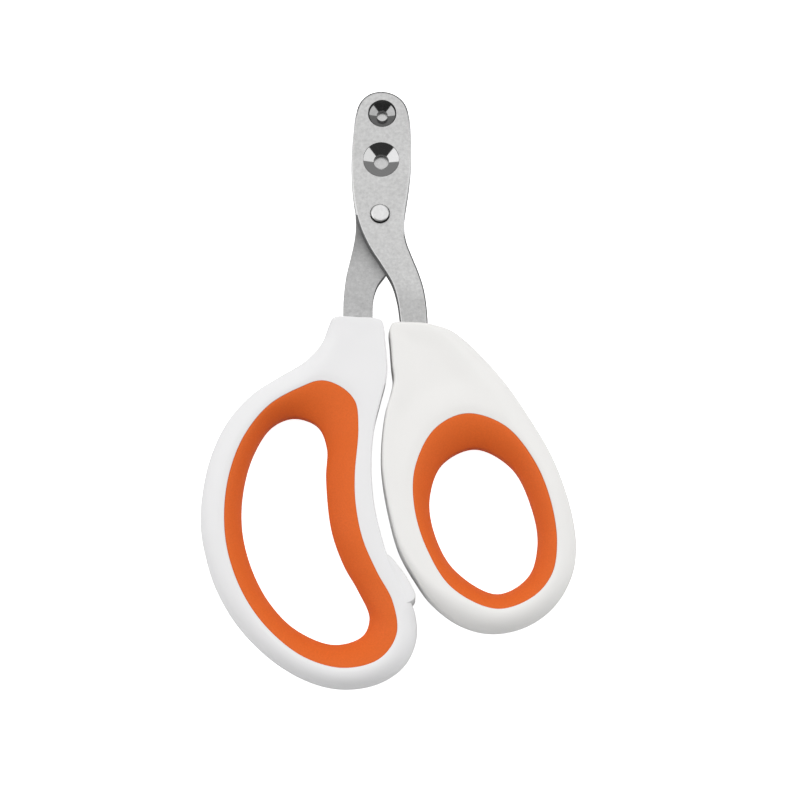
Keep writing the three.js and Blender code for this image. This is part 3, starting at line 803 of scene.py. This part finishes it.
class Look:
    """A node material under construction: a Principled shader and short calls that feed it."""

    def __init__(self, name, **values):
        self.material = bpy.data.materials.new(name)
        self.material.use_nodes = True
        self.tree = self.material.node_tree
        self.nodes, self.links = self.tree.nodes, self.tree.links
        self.shader = self.nodes["Principled BSDF"]
        self.place = self.nodes.new("ShaderNodeTexCoord").outputs["Object"]
        for key, value in values.items():
            self.shader.inputs[key.title()].default_value = value

    def stretched(self, scale):
        """The place on the object, scaled along each axis."""
        mapping = self.nodes.new("ShaderNodeMapping")
        mapping.inputs["Scale"].default_value = scale
        self.links.new(self.place, mapping.inputs["Vector"])
        return mapping.outputs["Vector"]

    def noise(self, scale, detail=3.0, roughness=0.55, vector=None):
        node = self.nodes.new("ShaderNodeTexNoise")
        node.inputs["Scale"].default_value = scale
        node.inputs["Detail"].default_value = detail
        node.inputs["Roughness"].default_value = roughness
        self.links.new(vector or self.place, node.inputs["Vector"])
        return node.outputs["Fac"]

    def spread(self, value, low, high, out_low=0.0, out_high=1.0):
        return map_range(self.tree, value, low, high, out_low, out_high)

    def place_along(self, axis):
        """How far along an axis of the object the place is, in metres."""
        node = self.nodes.new("ShaderNodeSeparateXYZ")
        self.links.new(self.place, node.inputs[0])
        return node.outputs[axis]

    def darkened(self, colour, tone):
        """The colour multiplied by a tone from 0 to 1, both of them sockets."""
        node = self.nodes.new("ShaderNodeVectorMath")
        node.operation = "SCALE"
        self.links.new(colour, node.inputs[0])
        self.links.new(tone, node.inputs["Scale"])
        return node.outputs[0]

    def mix(self, factor, first, second):
        """A mix of two colours, each of them a socket or a constant."""
        node = self.nodes.new("ShaderNodeMix")
        node.data_type = "RGBA"
        for socket, value in ((node.inputs[6], first), (node.inputs[7], second)):
            if isinstance(value, bpy.types.NodeSocket):
                self.links.new(value, socket)
            else:
                socket.default_value = (*value, 1.0)
        self.links.new(factor, node.inputs[0])
        return node.outputs[2]

    def bump(self, height, strength, depth_mm, below=None):
        """A normal with fine relief, over the relief below it if there is one."""
        node = self.nodes.new("ShaderNodeBump")
        node.inputs["Strength"].default_value = strength
        node.inputs["Distance"].default_value = depth_mm * MM
        self.links.new(height, node.inputs["Height"])
        if below is not None:
            self.links.new(below, node.inputs["Normal"])
        return node.outputs["Normal"]

    def feed(self, socket, value):
        self.links.new(value, self.shader.inputs[socket])


def steel(name, colour, roughness, grain=1.0, shade=None):
    """Stamped stainless steel with a tumbled, faintly mottled face and fine random scratches.

    shade is (y0, y1, tone): painted shade, which darkens the colour to the tone on the way from y0
    to y1, in mm.
    """
    look = Look(name, metallic=1.0, roughness=roughness)
    mottle = look.noise(1500.0, detail=4.0, roughness=0.7)
    cloud = look.noise(160.0, detail=2.0)
    darker = times(colour, 1 - STEEL_DARKER * grain)
    lighter = times(colour, 1 + STEEL_LIGHTER * grain)
    tint = look.mix(look.spread(mottle, *NOISE_SPAN), darker, lighter)
    if shade:
        y0, y1 = (PIVOT.y + y * MM for y in shade[:2])
        tint = look.darkened(tint, look.spread(look.place_along("Y"), y0, y1, 1.0, shade[2]))
    look.feed("Base Color", tint)
    scratch = look.noise(2600.0, detail=2.0, vector=look.stretched((1.0, 0.06, 1.0)))
    rough = look.spread(cloud, *NOISE_SPAN, roughness * 0.9, roughness * 1.1)
    look.feed("Roughness", rough)
    fine = look.bump(mottle, 0.30 * grain, 0.02)
    look.feed("Normal", look.bump(scratch, 0.12 * grain, 0.01, below=fine))
    return look.material


def white_plastic(name, colour):
    """White moulded plastic with a fine satin texture."""
    look = Look(name, roughness=0.42)
    cloud = look.noise(90.0, detail=2.0)
    tint = look.mix(look.spread(cloud, *NOISE_SPAN), times(colour, 0.985), colour)
    look.feed("Base Color", tint)
    look.feed("Roughness", look.spread(look.noise(220.0), *NOISE_SPAN, 0.38, 0.47))
    texture = look.noise(5200.0, detail=2.0)
    look.feed("Normal", look.bump(texture, 0.10, 0.02))
    return look.material


def orange_rubber(name, colour):
    """Soft-touch moulded rubber: matte, with a fine even grain."""
    look = Look(name, roughness=0.62)
    look.shader.inputs["Specular IOR Level"].default_value = 0.25
    speckle = look.noise(3000.0, roughness=0.6)
    cloud = look.noise(120.0, detail=2.0)
    grainy = look.mix(look.spread(speckle, *NOISE_SPAN), times(colour, 0.93), times(colour, 1.05))
    clouded = look.mix(look.spread(cloud, 0.35, 0.65, 0.0, 0.35), grainy, times(colour, 0.95))
    look.feed("Base Color", clouded)
    look.feed("Roughness", look.spread(cloud, *NOISE_SPAN, 0.56, 0.68))
    look.feed("Normal", look.bump(speckle, 0.28, 0.03))
    return look.material


# ---------------------------------------------------------------- stage


def make_floor():
    """A pale matt floor, which glows where it is seen directly."""
    mesh = bpy.data.meshes.new("floor")
    corners = ((-1, -1), (1, -1), (1, 1), (-1, 1))
    mesh.from_pydata([(x * FLOOR_HALF, y * FLOOR_HALF, 0) for x, y in corners], [], [(0, 1, 2, 3)])
    floor = bpy.data.objects.new("floor", mesh)
    bpy.context.scene.collection.objects.link(floor)
    material = bpy.data.materials.new("pale_floor")
    material.use_nodes = True
    nodes, links = material.node_tree.nodes, material.node_tree.links
    shader = nodes["Principled BSDF"]
    shader.inputs["Base Color"].default_value = (0.85, 0.85, 0.85, 1.0)
    shader.inputs["Roughness"].default_value = 0.9
    shader.inputs["Specular IOR Level"].default_value = 0.0
    shader.inputs["Emission Color"].default_value = (1.0, 1.0, 1.0, 1.0)
    seen = nodes.new("ShaderNodeLightPath").outputs["Is Camera Ray"]
    glow = nodes.new("ShaderNodeMath")
    glow.operation = "MULTIPLY"
    glow.inputs[1].default_value = FLOOR_GLOW
    links.new(seen, glow.inputs[0])
    links.new(glow.outputs[0], shader.inputs["Emission Strength"])
    floor.data.materials.append(material)


def make_camera():
    """High above the tool and a little towards the handles' end, with a slight lean."""
    tilt, roll = math.radians(13.5), math.radians(1.1)
    distance = 469.3
    aim = Vector((4.892, -39.078, 0.0))
    back = Vector((0.0, -math.sin(tilt), math.cos(tilt)))
    up = Vector((0.0, math.cos(tilt), math.sin(tilt)))
    side = Vector((1.0, 0.0, 0.0))
    right = side * math.cos(roll) + up * math.sin(roll)
    above = up * math.cos(roll) - side * math.sin(roll)
    data = bpy.data.cameras.new("camera")
    data.sensor_width = 36.0
    data.lens = 103.17
    data.clip_start = 0.01
    camera = bpy.data.objects.new("camera", data)
    turn = Matrix((right, above, back)).transposed().to_4x4()
    camera.matrix_world = Matrix.Translation(PIVOT + (aim + back * distance) * MM) @ turn
    bpy.context.scene.collection.objects.link(camera)
    bpy.context.scene.camera = camera


def make_lights():
    """A soft key light above and to the right, and a softer fill above and to the left."""
    for name, place, size, power in SOFTBOXES:
        data = bpy.data.lights.new(name, "AREA")
        data.shape = "RECTANGLE"
        data.size = data.size_y = size
        data.energy = power
        light = bpy.data.objects.new(name, data)
        light.location = place
        light.rotation_euler = (-Vector(place)).to_track_quat("-Z", "Y").to_euler()
        light.visible_glossy = False
        bpy.context.scene.collection.objects.link(light)


def make_world():
    """A soft light tent, even above, with low bright panels left and right and an opening in front.

    Bearings are angles round the tool from its right or left side, positive towards the tip.
    """
    world = bpy.data.worlds.new("studio")
    bpy.context.scene.world = world
    world.use_nodes = True
    tree = world.node_tree
    nodes, links = tree.nodes, tree.links
    background = nodes["Background"]
    direction = nodes.new("ShaderNodeTexCoord").outputs["Generated"]
    axes = nodes.new("ShaderNodeSeparateXYZ")
    links.new(direction, axes.inputs["Vector"])

    def math_node(operation, first, second=None):
        """The result of a Math node, from one socket or two."""
        node = nodes.new("ShaderNodeMath")
        node.operation = operation
        links.new(first, node.inputs[0])
        if second is not None:
            links.new(second, node.inputs[1])
        return node.outputs[0]

    def blend(factor, first, second):
        """A mix of two strengths, each of them a socket or a constant."""
        node = nodes.new("ShaderNodeMix")
        links.new(factor, node.inputs[0])
        for socket, value in ((node.inputs[2], first), (node.inputs[3], second)):
            if isinstance(value, float):
                socket.default_value = value
            else:
                links.new(value, socket)
        return node.outputs[0]

    across, along, up = (axes.outputs[axis] for axis in "XYZ")
    bearing = math_node("ARCTAN2", along, math_node("ABSOLUTE", across))
    opening_turn = [math.radians(angle) for angle in OPENING_TURN]
    back_turn = [math.radians(angle) for angle in BACK_TURN]
    sides = map_range(tree, across, -SIDE_BLUR, SIDE_BLUR, TENT_LEFT, TENT_RIGHT)
    front = map_range(tree, up, OPENING_SILL - SILL_BLUR, OPENING_SILL, TENT_FRONT, TENT_OPENING)
    low = blend(map_range(tree, bearing, *opening_turn), front, sides)
    low = blend(map_range(tree, bearing, *back_turn), low, TENT_BACK)
    rim = map_range(tree, bearing, *back_turn, FRONT_RIM, BACK_RIM)
    over_rim = math_node("SUBTRACT", up, rim)
    light = blend(map_range(tree, over_rim, 0.0, RIM_BLUR, kind="SMOOTHSTEP"), low, TENT_TOP)
    seen = nodes.new("ShaderNodeLightPath").outputs["Is Camera Ray"]
    links.new(blend(seen, light, BACKDROP), background.inputs["Strength"])
    background.inputs["Color"].default_value = (1.0, 1.0, 1.0, 1.0)
    bpy.context.scene.view_settings.view_transform = "Standard"


# ---------------------------------------------------------------- assembly


def fit(piece, body, node, slot_name, *materials):
    """Gives a piece its materials and its place in the assembly."""
    piece.data.materials.clear()
    for material in materials:
        piece.data.materials.append(material)
    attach(piece, body)
    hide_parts(node)


def paint(piece, finish):
    """Gives each polygon the slot that finish names for its centre, in mm, and its normal."""
    for polygon in piece.data.polygons:
        polygon.material_index = finish((polygon.center - PIVOT) / MM, polygon.normal)


def edge_finish_and_shade(centre, normal):
    """An edge is tumbled bright at its brow; further down, on the sheared wall, it is painted near
    black as shade and dark reflection.

    Along the head's flanks the bright part reaches further down.
    """
    level = abs(normal.z)
    if level > LEVEL:
        return SURFACE
    flank_end = FLANK_END_RIGHT if centre.x > 0 else FLANK_END_LEFT
    sideways = abs(normal.x) > FLANK_SIDEWAYS * math.hypot(normal.x, normal.y)
    on_flank = centre.y > flank_end and sideways
    return CROWN if level > (FLANK_CROWN_LEVEL if on_flank else CROWN_LEVEL) else WALL


def front_blade_finish_and_shade(centre, normal):
    """The claw holes' cones are ground, the small hole's painted darker as shade, and their brims
    and lands are painted near black like the sheared edge, as the shade round the holes.
    """
    for hole in CLAW_HOLES:
        radius = math.hypot(centre.x, centre.y - hole["y"])
        if radius < hole["mouth"] and abs(normal.z) < LEVEL_BY_HOLE:
            on_cone = hole["foot"] < radius < hole["mouth"] - hole["brim"]
            return hole["finish"] if on_cone else WALL
    return edge_finish_and_shade(centre, normal)


def rear_blade_finish_and_shade(centre, normal):
    """The sliding face of the head is honed and the wide bevel along the scallops is ground."""
    if centre.y > HONED_END and normal.z > LEVEL_BY_HOLE:
        return HONED
    by_scallops = centre.x < -0.5 and 3.0 < centre.y < 27.0
    on_bevel = by_scallops and BEVEL_LEVELS[0] < abs(normal.z) < BEVEL_LEVELS[1]
    return GROUND if on_bevel else edge_finish_and_shade(centre, normal)


def rivet_finish_and_shade(centre, normal):
    """The side of the rivet's front end is painted near black as shade, darker than its end and its
    head.
    """
    on_side = PLATE_FACE < centre.z and abs(normal.z) < RIVET_SIDE_LEVEL
    return RIVET_SIDE if on_side else SURFACE


make_camera()
make_floor()
make_lights()
make_world()

# Painted shade: the front tang darkens towards the right handle, from y = -15 to -19 mm, in place
# of the slight bend there that turns it from the light.
front_steel = steel("tumbled_steel", (0.67, 0.67, 0.667), 0.46, shade=(-15, -19, 0.84))
# The rear blade's steel is darker all over than the front blade's. Painted shadow: it also darkens
# from y = -11 to -4 mm towards the crossing, as the front blade's shadow, and keeps that tone
# beyond.
rear_steel = steel("rear_tumbled_steel", (0.575, 0.575, 0.575), 0.52, shade=(-11, -4, 0.62))
edge_steels = (  # in the order of a blade's slots, from CROWN on
    steel("tumbled_edge_steel", (0.62, 0.62, 0.62), 0.20, grain=0.4),
    # Painted shade: near black steel for the edge walls and for the claw holes' brims and lands.
    steel("painted_shade_steel", (0.15, 0.15, 0.15), 0.40, grain=0.8),
    steel("ground_steel", (0.63, 0.63, 0.63), 0.08, grain=0.15),
    steel("honed_steel", (0.60, 0.60, 0.60), 0.26, grain=0.5),
    # Painted shade: ground steel made darker for the cone of the small, deeper claw hole.
    steel("shaded_ground_steel", (0.40, 0.40, 0.40), 0.10, grain=0.6),
)
rivet_steel = steel("rivet_steel", (0.80, 0.80, 0.80), 0.32, grain=0.7)
# Painted shade: near black steel for the rivet's side, standing for the shade and contact shadow
# round its front end.
rivet_side_shade_steel = steel("rivet_side_shade_steel", (0.10, 0.10, 0.10), 0.45, grain=0.5)
# Painted light: both handles are one white plastic; the left copy is a little cooler and darker and
# the right one warmer and brighter, for the light that falls on each.
left_white = white_plastic("white_plastic_left", (0.826, 0.823, 0.828))
right_white = white_plastic("white_plastic_right", (0.842, 0.834, 0.818))
orange = orange_rubber("orange_rubber", (0.75, 0.137, 0.020))

left_handle = handle_object("left_handle_plastic", LEFT_HANDLE_OUTLINE, LEFT_LOOP, **LEFT_SHAPE)
boolean(left_handle, nub_object(), "UNION")
cut_pocket(left_handle, REAR_BLADE_OUTLINE, -PLATE_FACE, -SLIDE_GAP)
add_post(left_handle, *LEFT_ANCHOR, -PLATE_FACE - POST_ROOT, POST_ROOT)

right_handle = handle_object(
    "right_handle_plastic", RIGHT_HANDLE_OUTLINE, RIGHT_LOOP, **RIGHT_SHAPE
)
cut_pocket(right_handle, FRONT_BLADE_OUTLINE, SLIDE_GAP, PLATE_FACE)
add_post(right_handle, *RIGHT_ANCHOR, -POST_ROOT, PLATE_FACE + POST_ROOT)

left_grip = grip_object("left_grip_rubber", LEFT_LOOP)
right_grip = grip_object("right_grip_rubber", RIGHT_LOOP)
front_blade, rear_blade, rivet = front_blade_object(), rear_blade_object(), rivet_object()

fit(left_handle, LEFT_BODY, "left_handle", "handle_plastic", left_white)
fit(right_handle, RIGHT_BODY, "right_handle", "handle_plastic", right_white)
fit(left_grip, LEFT_BODY, "left_grip", "grip_rubber", orange)
fit(right_grip, RIGHT_BODY, "right_grip", "grip_rubber", orange)
fit(front_blade, RIGHT_BODY, "front_blade", "blade_steel", front_steel, *edge_steels)
fit(rear_blade, LEFT_BODY, "rear_blade", "blade_steel", rear_steel, *edge_steels)
fit(rivet, RIGHT_BODY, "pivot_rivet", "rivet_steel", rivet_steel, rivet_side_shade_steel)
paint(front_blade, front_blade_finish_and_shade)
paint(rear_blade, rear_blade_finish_and_shade)
paint(rivet, rivet_finish_and_shade)
